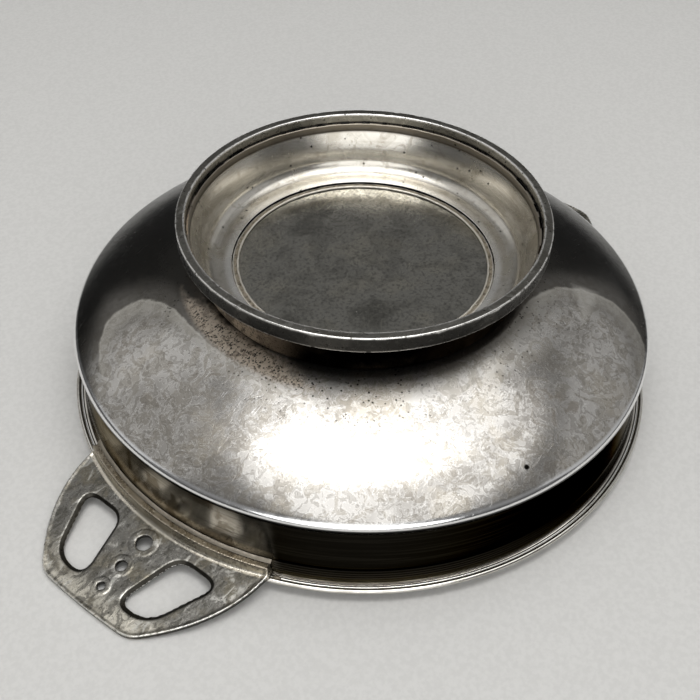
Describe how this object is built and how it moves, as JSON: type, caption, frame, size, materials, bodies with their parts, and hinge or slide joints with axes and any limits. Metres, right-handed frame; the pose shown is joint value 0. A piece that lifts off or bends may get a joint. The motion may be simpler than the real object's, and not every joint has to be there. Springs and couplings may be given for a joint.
{
  "type": "footed two-handled shallow dish",
  "caption": "Shallow round footed dish in plated metal with a stepped side, wired rim, ringed foot and two flat pierced lug handles; stored upside down.",
  "frame": {"origin": "centre of the bounding box's base: on the dish's axis, at the height of the two handle tips' undersides, on which it stands", "axes": "+Z is the dish's axis, from its rim to its foot, so the dish lies upside down as in the picture and is turned over for use; +X runs through both handles, to handle_right"},
  "size_m": [0.326, 0.2474, 0.0852],
  "materials": {
    "silver_plate": "worn polished silver plate with brown patina",
    "ring_metal": "mottled, with polished edges",
    "cast_metal": "pitted casting, rubbed bright on the edges",
    "solder": "dull soft solder"
  },
  "bodies": {
    "root": {"bowl": "silver_plate", "rim_wire": "silver_plate", "foot": "silver_plate", "foot_ring": "ring_metal", "foot_solder": "solder", "handle_left": "cast_metal", "handle_left_solder": "solder", "handle_right": "cast_metal", "handle_right_solder": "solder"}
  },
  "joints": []
}
